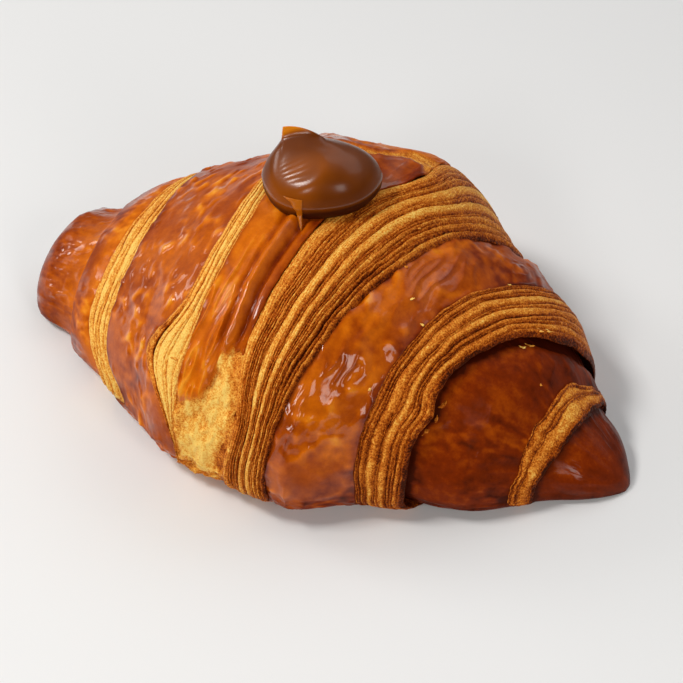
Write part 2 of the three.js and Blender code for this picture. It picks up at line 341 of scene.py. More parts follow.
# Where the tongue's skin ends at the front: share of the way across, and degrees round.
TONGUE_END = ((0, 0.1, 0.3, 0.5, 0.6, 0.8, 1), (158, 162, 160, 154, 145, 141, 141))
# The split on the tongue's back: place along, and degrees round.
SPLIT_MIDDLE = ((-8, 0, 5, 12), (67, 65, 57, 55))
SPLIT_HALF_WIDTH = ((-8, 0, 6, 10, 12), (2.0, 2.6, 3.4, 4.2, 9))


def crumb_look(along, angle, share, end, pits, seed):
    """Relief and colour level of the pale crumb below the tongue's end: lumps with a lobe at the right,
    bubbles, pits and strings, darker at both sides, along the tongue's end and towards the foot; the
    pits are coloured darker as painted shade."""
    lumps = noise(along, angle, 4.5, 7, seed + 3)
    lobe = bell(share, 0.8, 0.15) * bell(angle, 148, 5)
    bubbles = smooth(-0.1, 0.7, noise(along, angle, 1.6, 2.4, seed + 4))
    strings = noise(along, angle, 1.2, 9, seed + 6)
    relief = -0.8 + 1.2 * lumps + 1.3 * lobe + 0.4 * bubbles - 0.14 * pits + 0.2 * strings
    bake_and_shading = 0.15 - 0.2 * lumps + 0.14 * strings + 0.1 * pits - 0.12 * bubbles
    bake_and_shading = bake_and_shading + 0.25 * bell(share, 0, 0.1) + 0.3 * bell(share, 1, 0.14) + 0.2 * bell(angle, end, 3)
    return relief, bake_and_shading + 0.3 * smooth(178, 205, angle)


def tongue_look(along, angle, share, band):
    """The tongue: skin with a long raised fold between two furrows and slanted creases to the left
    of it. The furrows are coloured darker as painted shade, and the fold and the creases lighter as
    a painted highlight. It ends raggedly at the front over crumb. On the back it has split: a wavy
    golden opening with a raised lip, whose middle and half width in degrees follow the length."""
    relief, leafy, bake_and_shading, gloss = skin_look(along, angle, share, band)
    seed = band["seed"] + 50
    middle = 0.66 + 0.05 * noise(0, angle, 1, 16, seed)
    shown = window(angle, (84, 104), (136, 150))
    fold = bell(share, middle, 0.085) * shown
    furrow = (bell(share, middle + 0.17, 0.05) + 0.7 * bell(share, middle - 0.15, 0.05)) * shown
    slanted = noise(along + 0.03 * (angle - 120), angle, 2.6, 14, seed + 1)
    creases = np.clip(1 - 2 * np.abs(slanted), 0, 1) ** 2
    creases = creases * smooth(104, 124, angle) * (1 - smooth(0.45, 0.6, share))
    relief = relief + 1.5 * fold - 0.8 * furrow + 0.65 * creases
    # Painted light: darker in the furrows as painted shade, lighter on the fold and creases as a painted
    # highlight.
    bake_and_shading = bake_and_shading + 0.24 * furrow - 0.08 * fold - 0.22 * creases
    end = np.interp(share, *TONGUE_END) + 2.4 * noise(along, 0, 1.5, 10, seed + 2)
    relief = relief + 0.45 * bell(angle, end - 2.5, 2.2)
    past = smooth(end - 0.8, end + 0.8, angle)
    pits = smooth(0.15, 0.8, noise(along, angle, 0.8, 1.2, seed + 5))
    crumb, pale = crumb_look(along, angle, share, end, pits, seed)
    relief = relief + (crumb - relief) * past
    bake_and_shading = bake_and_shading + (pale - bake_and_shading) * past
    centre = np.interp(along, *SPLIT_MIDDLE) + 1.6 * noise(along, 0, 4, 10, seed + 7)
    away = np.abs((angle - centre) / np.interp(along, *SPLIT_HALF_WIDTH))
    begun = smooth(-12, -7, along)
    split = (1 - smooth(0.75, 1.15, away)) * begun
    relief = relief + 0.5 * bell(away, 1.35, 0.4) * begun - 0.3 * split
    waves = np.sin(0.9 * angle + 0.5 * along)
    relief = relief + 0.25 * waves * smooth(64, 50, angle) * smooth(-18, -6, along)
    # The split's pits are coloured darker: painted shade.
    bake_and_shading = bake_and_shading + (0.42 + 0.2 * noise(along, angle, 7, 1.6, seed + 8) + 0.1 * pits - bake_and_shading) * split
    bake_and_shading = bake_and_shading - 0.22 * smooth(63, 54, angle) * smooth(-16, -6, along) * (1 - split)
    gloss = np.maximum(gloss, fold) * (1 - past) * (1 - split)
    return relief, leafy + past + split, bake_and_shading, gloss


# The bands, from the left end to the right one, with how proud their two sides and their middle
# stand of the loaf, as on the frame's solid. A leaf is its width and how much darker it is, and
# `lines` is how much darker the gaps between leaves are, a painted shade. A rim is its share of
# the way across, its width and how much darker it is; where it lies in the crevice beside a
# neighbour's lip it is painted shade. A crevice is its share, the degrees where it begins and
# ends, and its depth, and it is coloured darker as painted shade; a toasted stretch has a width as
# well. `low` is how much darker a skin grows towards the foot, deeper browning partly mixed with
# painted shade.
BANDS = {
    "knob_skin": dict(
        between=(None, "knob"), proud=(0, -1.8, 1.1), look=skin_look, seed=100, rows=150,
        lumps=0.35, folds=0.05, blisters=0.18, welts=0.1, mottle=0.1, calm=0.7, shine=1.0,
        bake_and_shading=(0.84, 0.4), rims=((1, 0.1, -0.06),)),
    "strip_skin": dict(
        between=("knob", "left_skin"), proud=(1.2, -0.4, 0.3), look=skin_look, seed=120, rows=80,
        lumps=0.25, folds=0.06, blisters=0.14, welts=0.1, mottle=0.2, shine=0.6,
        bake_and_shading=(0.6, 0.38), rims=((0.2, 0.25, 0.12), (1, 0.05, 0.1))),
    "strip_leaves": dict(
        between=("left_skin", "left_fold"), proud=(-0.3, -0.5, 0.3), look=leaf_look, seed=140, rows=90,
        leaves=((1.0, 0.1), (1.4, -0.04), (0.6, 0.08), (1.3, -0.06), (1.0, 0.04)),
        depth=0.42, outward=-1, bake_and_shading=0.3, lines=0.24),
    "left_turn_skin": dict(
        between=("left_fold", "left_leaves"), proud=(0.7, -1.0, 0.8), look=skin_look, seed=160, rows=130,
        lumps=0.4, folds=0.03, blisters=0.46, welts=0.06, mottle=0.18, shine=0.9, glint=0.5, spots=0.36,
        bake_and_shading=(0.59, 0.53), low=0.08, rims=((0, 0.05, 0.14), (1, 0.06, 0.1))),
    "tongue_left_leaves": dict(
        between=("left_leaves", "tongue_left"), proud=(-0.1, -0.2, 0.2), look=leaf_look, seed=180, rows=90,
        leaves=((1.2, 0.14), (0.9, 0.0), (1.2, -0.06), (0.6, 0.03), (1.0, -0.06), (0.8, 0.06)),
        depth=0.45, outward=-1, bake_and_shading=0.24, lines=0.22, shaded_crevices=((0.24, 128, 180, 0.9),),
        toasted=((0.1, 0.12, 130, 185, 0.3),)),
    "tongue_skin": dict(
        between=("tongue_left", "tongue_right"), proud=(0.6, 0.4, 0.1), look=tongue_look, seed=200, rows=120,
        lumps=0.35, folds=0.25, blisters=0.18, welts=0.2, mottle=0.16, shine=1.0,
        bake_and_shading=(0.44, 0.54), back=0.14, rims=((0, 0.04, 0.15), (1, 0.06, 0.12))),
    "crown_leaves": dict(
        between=("tongue_right", "crown_fold"), proud=(-0.3, -0.2, 0.2), look=leaf_look, seed=220, rows=178,
        leaves=((2.3, -0.13), (0.6, 0.05), (0.5, 0.12), (0.4, 0.08), (0.7, -0.02), (0.4, 0.1), (1.8, -0.18),
                (0.4, 0.12), (0.5, 0.02), (1.5, -0.2), (0.5, 0.12), (0.4, 0.06), (0.8, -0.06), (0.5, 0.14),
                (0.9, -0.04), (0.5, 0.16), (0.8, 0.06)),
        depth=0.6, outward=1, bake_and_shading=0.61, lines=0.17, shaded_crevices=((0.87, 96, 152, 0.8),),
        toasted=((0.04, 0.1, 152, 230, 0.22),)),
    "side_skin": dict(
        between=("crown_fold", "side_leaves"), proud=(-1.1, -0.4, 1.1), look=skin_look, seed=240, rows=115,
        lumps=0.45, folds=0.5, blisters=0.3, welts=0.55, mottle=0.2, shine=0.95, glint=0.6, spots=0.3,
        grain=0.13, bake_and_shading=(0.51, 0.6), low=0.18, rims=((0, 0.05, 0.25), (1, 0.05, 0.15))),
    "side_edge_leaves": dict(
        between=("side_leaves", "side_fold"), proud=(-0.3, 0.9, 0.3), look=leaf_look, seed=260, rows=148,
        leaves=((0.6, 0.06), (0.5, 0.12), (0.9, -0.04), (0.4, 0.12), (1.7, -0.16), (0.4, 0.1), (0.5, 0.0),
                (1.4, -0.14), (0.4, 0.14), (0.8, -0.02), (0.4, 0.1), (1.3, -0.08), (0.7, 0.12)),
        depth=0.55, outward=1, bake_and_shading=0.58, lines=0.21,
        toasted=((0.97, 0.07, 126, 156, -0.26),)),
    "far_skin": dict(
        between=("side_fold", "tip_leaves"), proud=(-2.6, -0.5, 0.8), look=skin_look, seed=280, rows=140,
        lumps=0.35, folds=0.12, blisters=0.08, welts=0.15, mottle=0.13, shine=0.04,
        bake_and_shading=(0.76, 0.82), rims=((0, 0.06, 0.3),)),
    "tip_edge_leaves": dict(
        between=("tip_leaves", "tip_fold"), proud=(-0.2, 0.3, 0.2), look=leaf_look, seed=300, rows=80,
        leaves=((0.8, 0.12), (1.5, 0.02), (0.5, 0.16), (3.0, -0.06), (0.5, 0.25)),
        depth=0.45, outward=1, bake_and_shading=0.46, lines=0.3),
    "tip_skin": dict(
        between=("tip_fold", None), proud=(-1.6, 0, 0.2), look=skin_look, seed=320, rows=120,
        lumps=0.12, folds=0.0, blisters=0.05, welts=0.0, mottle=0.02, calm=0.3, shine=0.4,
        bake_and_shading=(0.78, 0.86), rims=((0, 0.06, 0.2),)),
}

# The turns of the dough, each made of its bands, and the sides where its edge lies open, as the
# radius of the rolled lip there.
TURNS = {
    "knob_turn": dict(bands=["knob_skin"], lips=(0, 0), sides=420),
    "left_outer_turn": dict(bands=["strip_skin"], lips=(0.8, 0), sides=440),
    "left_turn": dict(bands=["strip_leaves", "left_turn_skin"], lips=(0.4, 0), sides=380),
    "tongue_turn": dict(bands=["tongue_left_leaves", "tongue_skin"], lips=(0.6, 0.3), sides=400),
    "crown_turn": dict(bands=["crown_leaves"], lips=(0, 0.35), sides=480),
    "side_turn": dict(bands=["side_skin", "side_edge_leaves"], lips=(0, 0.5), sides=340),
    "far_turn": dict(bands=["far_skin", "tip_edge_leaves"], lips=(0, 0.35), sides=380),
    "tip_turn": dict(bands=["tip_skin"], lips=(0, 0), sides=420),
}
TUCK = 6.0  # how far a covered side runs on under its neighbour
TUCK_DROP = 1.6  # how deep it sinks as it does
TUCK_ROWS = 7
LIP_ROWS = 9
INNER_ROWS = 12
INNER_DEPTH = 4.5  # how deep the inner wall of a turn lies below its sides
# The colour level holds browning and painted light: painted shade in crevices, gaps, furrows and under lips,
# painted highlights on crests and folds.
LOOKS = ("leafy", "bake_and_shading", "gloss")  # the attributes that the crust's material reads


def band_rows(band, angle):
    """The rows of one band from its left edge to its right one, as along, proud, sink, leafy, bake
    and gloss arrays. Towards an end's point the rows draw together as a quarter of a sine wave."""
    left, right = band["between"]
    begin = -LEFT_LENGTH if left is None else edge_line(left, angle)
    finish = RIGHT_LENGTH if right is None else edge_line(right, angle)
    share = np.linspace(0, 1, band["rows"])[:, None]
    place = share
    if left is None:
        place = 1 - np.cos(share * np.pi / 2)
    if right is None:
        place = np.sin(share * np.pi / 2)
    along = begin + (finish - begin) * place
    angle = np.broadcast_to(angle, along.shape)
    start, end, crown = band["proud"]
    base = start + (end - start) * place + crown * np.sin(np.pi * place) + unevenness(along, angle)
    relief, leafy, bake_and_shading, gloss = band["look"](along, angle, place + 0 * along, band)
    return [along, base + relief, 0 * along, leafy, bake_and_shading, gloss]


def lip_rows(row, side, radius, angle):
    """Rows that roll an open edge over and under: half a turn of a small circle, out along the
    length by its radius and down by its width, coloured darker as it rolls under, a painted shade.
    Under the loaf it goes straight up instead."""
    along, proud, sink, leafy, bake_and_shading, gloss = (value[None, :] for value in row)
    turn = np.linspace(0, np.pi, LIP_ROWS + 1)[1:, None]
    open_part = window(angle, UNDERSIDE_ENDS, UNDERSIDE_BEGINS)
    return [
        along + side * radius * np.sin(turn) * open_part,
        proud + 0 * turn,
        sink + radius * (1 - np.cos(turn)),
        leafy + 0 * turn,
        # Painted shade: darker as the lip turns under.
        bake_and_shading + 0.05 * np.sin(turn / 2),
        0.15 * gloss + 0 * turn,
    ]


def tuck_rows(row, side):
    """Rows that carry a covered side on under its neighbour, sinking as they go."""
    along, proud, sink, *rest = (value[None, :] for value in row)
    step = np.linspace(0, 1, TUCK_ROWS + 1)[1:, None]
    sunk = sink + TUCK_DROP * smooth(0, 1, step)
    return [along + side * TUCK * step, proud + 0 * step, sunk] + [value + 0 * step for value in rest]


def first_row(rows):
    """The first row of each array."""
    return [value[0] for value in rows]


def last_row(rows):
    """The last row of each array."""
    return [value[-1] for value in rows]


def turned(rows):
    """Each array with its rows in reverse."""
    return [value[::-1] for value in rows]


def stacked(parts):
    """The arrays of all parts, one part's rows after the other's."""
    return [np.concatenate(values, axis=0) for values in zip(*parts)]


def padded_rows(values, count, after):
    """The array with its last or first row repeated, for the rows inside the loaf."""
    if after:
        return np.concatenate([values, np.repeat(values[-1:], count, axis=0)])
    return np.concatenate([np.repeat(values[:1], count, axis=0), values])


def grid_faces(rows, columns, wrap_rows):
    """Four-sided faces of a grid that closes round its columns and, if asked, its rows."""
    last = rows if wrap_rows else rows - 1
    r, c = np.meshgrid(np.arange(last), np.arange(columns), indexing="ij")
    below = (r + 1) % rows
    beside = (c + 1) % columns
    corners = [r * columns + c, below * columns + c, below * columns + beside, r * columns + beside]
    return np.stack(corners, axis=-1).reshape(-1, 4)


def signed_volume(points, faces):
    """Six times the volume inside the faces, positive where they point out."""
    a, b, c, d = (points[faces[:, k]] for k in range(4))
    first = np.einsum("ij,ij->i", a, np.cross(b, c))
    second = np.einsum("ij,ij->i", a, np.cross(c, d))
    return float((first + second).sum())


def mesh_object(name, points, faces, caps, attributes, material):
    """A smooth-shaded mesh object from point and face arrays, in metres, with named attributes."""
    if signed_volume(points, faces) < 0:
        faces = faces[:, ::-1]
        caps = caps[:, ::-1]
    corner_total = 4 * len(faces) + 3 * len(caps)
    mesh = bpy.data.meshes.new(name)
    mesh.vertices.add(len(points))
    mesh.vertices.foreach_set("co", (points * MM).astype(np.float32).ravel())
    mesh.loops.add(corner_total)
    mesh.loops.foreach_set("vertex_index", np.concatenate([faces.ravel(), caps.ravel()]).astype(np.int32))
    starts = np.concatenate([4 * np.arange(len(faces)), 4 * len(faces) + 3 * np.arange(len(caps))])
    mesh.polygons.add(len(faces) + len(caps))
    mesh.polygons.foreach_set("loop_start", starts.astype(np.int32))
    mesh.polygons.foreach_set("use_smooth", np.ones(len(starts), bool))
    mesh.update(calc_edges=True)
    mesh.validate()
    for key, values in attributes.items():
        layer = mesh.attributes.new(key, "FLOAT", "POINT")
        layer.data.foreach_set("value", np.asarray(values, np.float32).ravel())
    mesh.materials.append(material)
    piece = bpy.data.objects.new(name, mesh)
    bpy.context.scene.collection.objects.link(piece)
    return piece


def cap_fan(ring_start, columns, centre, forward):
    """Triangles from one ring of the grid to a centre point."""
    here = ring_start + np.arange(columns)
    beside = ring_start + (np.arange(columns) + 1) % columns
    middle = np.full(columns, centre)
    order = [here, beside, middle] if forward else [beside, here, middle]
    return np.stack(order, axis=-1)


def closed_tube(name, points, looks, material):
    """A mesh from rings of points, rows along it and columns round it, closed at both ends by
    triangles to the middle of the last ring."""
    rows, columns = points.shape[:2]
    flat = np.concatenate([points.reshape(-1, 3), [points[0].mean(axis=0), points[-1].mean(axis=0)]])
    faces = grid_faces(rows, columns, wrap_rows=False)
    first = cap_fan(0, columns, rows * columns, forward=True)
    last = cap_fan((rows - 1) * columns, columns, rows * columns + 1, forward=False)
    caps = np.concatenate([first, last])
    looks = {
        key: np.append(value.ravel(), [value[0].mean(), value[-1].mean()])
        for key, value in looks.items()
    }
    return mesh_object(name, flat, faces, caps, looks, material)


def make_turn(name, material):
    """One turn of the dough: its bands side by side, each open edge rolled over, each covered side
    carried on below its neighbour, and an inner wall that closes the ring. An end turn has no
    inner wall: it is closed by the point of the end and by a disc inside the loaf."""
    turn = TURNS[name]
    angle = angles_round(turn["sides"])
    parts = [band_rows(BANDS[key], angle) for key in turn["bands"]]
    left_lip, right_lip = turn["lips"]
    has_left_end = BANDS[turn["bands"][0]]["between"][0] is None
    has_right_end = BANDS[turn["bands"][-1]]["between"][1] is None
    if not has_left_end:
        row = first_row(parts[0])
        parts.insert(0, turned(lip_rows(row, -1, left_lip, angle) if left_lip else tuck_rows(row, -1)))
    if not has_right_end:
        row = last_row(parts[-1])
        parts.append(lip_rows(row, 1, right_lip, angle) if right_lip else tuck_rows(row, 1))
    along, proud, sink, *looks = stacked(parts)
    points = crust_points(along, angle, proud, sink)
    inner_share = np.linspace(0, 1, INNER_ROWS + 2)[1:-1, None]
    if has_left_end or has_right_end:
        edge = points[-1 if has_left_end else 0]
        disc = edge + (edge.mean(axis=0) - edge) * inner_share[:, :, None]
        points = np.concatenate([points, disc] if has_left_end else [disc[::-1], points])
        looks = [padded_rows(value, len(disc), has_left_end) for value in looks]
        return closed_tube(name, points, dict(zip(LOOKS, looks)), material)
    way_back = along[-1] + (along[0] - along[-1]) * inner_share
    dip = proud[-1] + (proud[0] - proud[-1]) * inner_share
    deep = sink[-1] + (sink[0] - sink[-1]) * inner_share + INNER_DEPTH * np.sin(np.pi * inner_share) ** 0.5
    inner = crust_points(way_back, angle, dip, deep)
    points = np.concatenate([points, inner])
    looks = [padded_rows(value, len(inner), True) for value in looks]
    faces = grid_faces(*points.shape[:2], wrap_rows=True)
    no_caps = np.zeros((0, 3), int)
    return mesh_object(name, points.reshape(-1, 3), faces, no_caps, dict(zip(LOOKS, looks)), material)


# Loose flakes on the crust: place along, degrees round, half length, half width, spin, bake.
FLAKES = [
    (28.3, 104.4, 0.75, 0.3, 70, 0.05), (32.4, 109.1, 0.6, 0.3, 20, 0.1), (29.0, 137.7, 0.7, 0.3, 60, 0.1),
    (40.4, 68.6, 0.45, 0.3, 0, 0.05), (57.6, 97.4, 0.4, 0.3, 10, 0.3), (53.2, 74.5, 1.1, 0.5, 95, 0.1),
    (52.1, 78.5, 1.0, 0.45, 80, 0.2), (51.2, 83.6, 1.1, 0.4, 100, 0.3), (50.4, 88.0, 0.8, 0.35, 85, 0.2),
    (64.4, 127.4, 0.35, 0.3, 0, 0.3), (42.8, 133.2, 1.3, 0.5, 75, 0.6), (42.6, 141.0, 1.2, 0.45, 100, 0.55),
    (41.6, 147.5, 1.2, 0.5, 70, 0.6), (20.6, 84.0, 0.9, 0.4, 30, 0.4), (23.2, 96.0, 0.8, 0.35, 50, 0.45),
    (-14.5, 150.0, 0.8, 0.4, 20, 0.35), (-6.0, 30.0, 0.7, 0.3, 40, 0.2), (35.0, 20.0, 0.6, 0.3, 70, 0.25),
]


def make_flakes(turns, material):
    """The flakes: flat, curled ovals with wavy edges, each laid on the crust where a ray towards
    the heart of the loaf meets it."""
    rows, columns = 8, 20
    pole = np.radians(np.linspace(-75, 75, rows))[:, None]
    t = (np.arange(columns) / columns * 2 * np.pi)[None, :]
    points, faces, caps, bakes = [], [], [], []
    for number, (at, angle, length, width, spin, bake_and_shading) in enumerate(FLAKES):
        far, near = (crust_points(at, angle, proud) * MM for proud in (9.0, -4.0))
        way = Vector(near - far)
        hits = [turn.ray_cast(Vector(far), way.normalized(), distance=way.length) for turn in turns]
        hits = [(hit - Vector(far)).length for found, hit, _, _ in hits if found]
        if not hits:
            continue
        place = (Vector(far) + way.normalized() * min(hits)) / MM
        up = (-way).normalized()
        side = up.cross(Vector((0.3, 0.2, 0.93))).normalized()
        first = side * math.cos(math.radians(spin)) + up.cross(side) * math.sin(math.radians(spin))
        axes = np.array([first, up.cross(first), up])
        reach = np.cos(pole) * (1 + 0.18 * np.sin(3 * t + number) + 0.1 * np.sin(5 * t + 2 * number))
        x, y = length * reach * np.cos(t), width * reach * np.sin(t)
        z = 0.09 * np.sin(pole) + 0.3 * x ** 2 / length - 0.25 * y ** 2 / width + 0.06
        oval = np.stack([x, y, z], axis=-1).reshape(-1, 3)
        oval = np.concatenate([oval, [oval[:columns].mean(axis=0), oval[-columns:].mean(axis=0)]])
        start = sum(len(part) for part in points)
        points.append(oval @ axes + np.array(place))
        faces.append(grid_faces(rows, columns, wrap_rows=False) + start)
        caps.append(cap_fan(start, columns, start + rows * columns, forward=True))
        caps.append(cap_fan(start + (rows - 1) * columns, columns, start + rows * columns + 1, forward=False))
        bakes.append(np.full(len(oval), bake_and_shading))
    bakes = np.concatenate(bakes)
    looks = dict(leafy=np.ones_like(bakes), bake_and_shading=bakes, gloss=np.zeros_like(bakes))
    points, faces, caps = (np.concatenate(part) for part in (points, faces, caps))
    return mesh_object("crust_flakes", points, faces, caps, looks, material)


# The caramel, as on the frame's solid: where it sits, its size, and the turn of its long axis.
MOUND_CENTRE = np.array([-2.6, 1.6])
MOUND_HALF_LENGTH = 13.6
MOUND_HALF_WIDTH = 11.0
MOUND_HEIGHT = 11.2
MOUND_EQUATOR = 2.3  # height of its widest level above the crust
MOUND_UPPER_POWER = 0.78  # how its outline shrinks above that level, and below it
MOUND_LOWER_POWER = 0.35
MOUND_TURN = math.radians(30)
CRUST_TOP = HEIGHT_PER_WIDTH * 2 * 52.5
MOUND_FOOT = CRUST_TOP - 0.4


def mound_place(long, wide, raised):
    """Points from millimetres along and across the mound's own axes and above its foot. The foot
    drops with the square of the distance across, as the crown of the loaf does."""
    x = MOUND_CENTRE[0] + long * math.cos(MOUND_TURN) - wide * math.sin(MOUND_TURN)
    y = MOUND_CENTRE[1] + long * math.sin(MOUND_TURN) + wide * math.cos(MOUND_TURN)
    drop = 0.006 * (y - 1) ** 2
    return np.stack(np.broadcast_arrays(x, y, MOUND_FOOT - drop + raised), axis=-1) + FRAME_SHIFT


def mound_points(climb, a):
    """Points of the caramel mound, and its colour level and how wet it looks there. Above its widest
    level its outline shrinks as cos(climb)^0.78 and its height grows as sin(climb)^0.9; below, it
    turns in under itself. A hollow at the front left has a ridge sweeping round it, fine ripples in
    it and a lip below it. It is coloured as thinner, more amber, at the fin and in the hollow, and
    darker below its widest level as painted shade. It is wet along its rim."""
    lift = np.sin(climb)
    spread = np.maximum(np.cos(climb), 0) ** np.where(lift > 0, MOUND_UPPER_POWER, MOUND_LOWER_POWER)
    outline = 1 + 0.02 * np.sin(3 * a + 1) + 0.015 * np.sin(5 * a) + 0.016 * bell(lift, 0.13, 0.06)
    u = spread * np.cos(a) * outline
    v = spread * np.sin(a) * outline
    from_hollow = np.hypot((u + 0.4) / 0.33, (v + 0.4) / 0.36)
    hollow = np.exp(-from_hollow ** 2)
    ring = bell(from_hollow, 1.35, 0.42)
    sweep = bell(v - 0.35 + 0.5 * (u + 0.3) ** 2, 0, 0.22) * window(u, (-1, -0.7), (-0.1, 0.5))
    ripple = 0.06 * np.sin(34 * u - 26 * v + 60 * u * v) * hollow ** 3
    upper = smooth(0.05, 0.4, lift)
    top = (MOUND_HEIGHT - MOUND_EQUATOR) * np.maximum(lift, 0) ** 0.9
    top = top + upper * (0.9 * sweep + 0.22 * ring - 1.1 * hollow + ripple)
    long = MOUND_HALF_LENGTH * u
    wide = MOUND_HALF_WIDTH * v
    fin = fin_height(long, wide) * upper
    raised = MOUND_EQUATOR + np.where(lift > 0, top, 3.6 * lift) + fin
    thin_and_shade = 0.1 + 0.2 * hollow + 0.14 * ring * smooth(0, -0.5, v)
    # Painted shade: darker below the widest level, where the mound turns under.
    thin_and_shade = thin_and_shade + 0.8 * smooth(0.8, 3.6, fin) - 0.3 * smooth(0.12, -0.05, lift)
    wet = 0.45 - 0.4 * smooth(0.7, 0.36, lift) + 1.1 * bell(lift, 0.15, 0.04) + 0.5 * hollow ** 2
    return mound_place(long, wide, raised), thin_and_shade, np.clip(wet, 0, 1) + 0 * thin_and_shade


FIN_LEFT = -8.6
FIN_LENGTH = 9.8
FIN_HEIGHT = 5.0


def fin_height(long, wide):
    """The fin where the caramel was pulled up, as height over the mound: FIN_HEIGHT at its upright
    left edge, falling to nothing at the right. Across, it is a narrow ridge on a wide, soft foot."""
    share = (long - FIN_LEFT) / FIN_LENGTH
    top = FIN_HEIGHT * np.clip(1 - share, 0, 1) ** 0.9
    past_left = np.maximum(-share, 0) * FIN_LENGTH
    away = wide - (5.4 - 1.1 * share) - 0.3 * np.sin(5 * share)
    ridge = smooth(0.45, 0, past_left) / (1 + (away / 0.62) ** 2) ** 1.2
    foot = 1 / (1 + (away / 1.9) ** 2 + (past_left / 1.7) ** 2) ** 1.5
    return top * (0.66 * ridge + 0.34 * foot)


def make_caramel(material):
    """The mound as rings from its sunken foot to its crown."""
    rings, sides = 240, 400
    climb = np.radians(np.linspace(-75, 88.5, rings))[:, None]
    a = (np.arange(sides) / sides * 2 * np.pi)[None, :]
    points, thin_and_shade, wet = mound_points(climb, a)
    return closed_tube("caramel_mound", points, dict(thin_and_shade=thin_and_shade, wet=wet), material)


DRIP_FRONT = 12.9
DRIP_SINK = 0.5  # how far its end lies below the mound's foot


def make_drip(material):
    """The drip over the front: a web on the mound, upright at its right edge and wide to the left
    at its top, which narrows to a flat string. Its lower half leaves the mound's surface for a
    line DRIP_FRONT before the mound's axis, and its tapered end touches the crust there."""
    rows, columns = 110, 28
    s = np.linspace(0, 1, rows)[:, None]
    t = (np.arange(columns) / columns * 2 * np.pi)[None, :]
    left = np.interp(s, [0, 0.12, 0.35, 0.6, 1], [-8.3, -6.7, -5.5, -5.2, -4.55])
    right = np.interp(s, [0, 0.6, 1], [-4.1, -4.2, -4.4])
    across = (left + right) / 2 + (right - left) / 2 * np.cos(t)
    thick = np.interp(s, [0, 0.3, 0.85, 1], [0.3, 0.42, 0.34, 0.06])
    on_mound = np.clip(s / 0.5, 0, 1)
    climb = np.radians(20 - 24 * on_mound) + 0 * t
    a = -np.arccos(across / MOUND_HALF_LENGTH / np.cos(climb) ** MOUND_UPPER_POWER)
    surface, _, _ = mound_points(climb, a)
    outward = np.stack([np.cos(a + MOUND_TURN), np.sin(a + MOUND_TURN), 0.4 + 0 * a], axis=-1)
    surface = surface + outward * (0.1 + thick * np.sin(t))[:, :, None]
    end = mound_place(across, -DRIP_FRONT - thick * np.sin(t), -DRIP_SINK)
    points = surface + (end - surface) * smooth(0.45, 1, s)[:, :, None]
    even = 0 * s + 0 * t
    return closed_tube("caramel_drip", points, dict(thin_and_shade=0.58 + even, wet=0.5 + even), material)


def new_material(name):
    """A material with an empty node tree, and that tree."""
    material = bpy.data.materials.new(name)
    material.use_nodes = True
    material.node_tree.nodes.clear()
    return material, material.node_tree


def add_surface(tree, values, sources):
    """A Principled surface with fixed values on some sockets and node outputs linked to others."""
    surface = tree.nodes.new("ShaderNodeBsdfPrincipled")
    for key, value in values.items():
        surface.inputs[key].default_value = value
    for key, source in sources.items():
        tree.links.new(source, surface.inputs[key])
    out = tree.nodes.new("ShaderNodeOutputMaterial")
    tree.links.new(surface.outputs["BSDF"], out.inputs["Surface"])


def add_attribute(tree, name):
    """The output that reads a named value of the mesh."""
    node = tree.nodes.new("ShaderNodeAttribute")
    node.attribute_name = name
    return node.outputs["Fac"]


def add_range(tree, source, low, high):
    """The output that turns 0 to 1 into low to high."""
    node = tree.nodes.new("ShaderNodeMapRange")
    node.inputs["To Min"].default_value = low
    node.inputs["To Max"].default_value = high
    tree.links.new(source, node.inputs["Value"])
    return node.outputs["Result"]


def add_ramp(tree, stops):
    """A colour ramp with the given places and sRGB colours."""
    ramp = tree.nodes.new("ShaderNodeValToRGB")
    elements = ramp.color_ramp.elements
    while len(elements) < len(stops):
        elements.new(0.5)
    for element, (place, colour) in zip(elements, stops):
        element.position = place
        element.color = (*[linear(channel) for channel in colour], 1)
    return ramp


def linear(channel):
    """An sRGB channel from 0 to 255 as a linear value."""
    c = channel / 255
    return c / 12.92 if c <= 0.04045 else ((c + 0.055) / 1.055) ** 2.4


# Colours from palest to darkest as the dough bakes, for egg-washed skin and for the cut leaves;
# the same ramps also show the painted shade and painted highlights in the colour level.
SKIN_STOPS = [
    (0.0, (244, 180, 72)), (0.2, (232, 142, 30)), (0.4, (208, 104, 6)),
    (0.6, (168, 72, 3)), (0.8, (120, 38, 2)), (1.0, (66, 15, 2)),
]
LEAF_STOPS = [
    (0.0, (248, 206, 108)), (0.2, (237, 168, 68)), (0.4, (214, 125, 40)),
    (0.6, (172, 84, 17)), (0.8, (120, 46, 8)), (1.0, (56, 17, 4)),
]
# Caramel from thick to thinnest; the darkest stop also shows the painted shade below the
# mound's widest level.
CARAMEL_STOPS = [(0.0, (58, 20, 6)), (0.2, (104, 48, 4)), (0.55, (156, 78, 3)), (1.0, (222, 128, 10))]


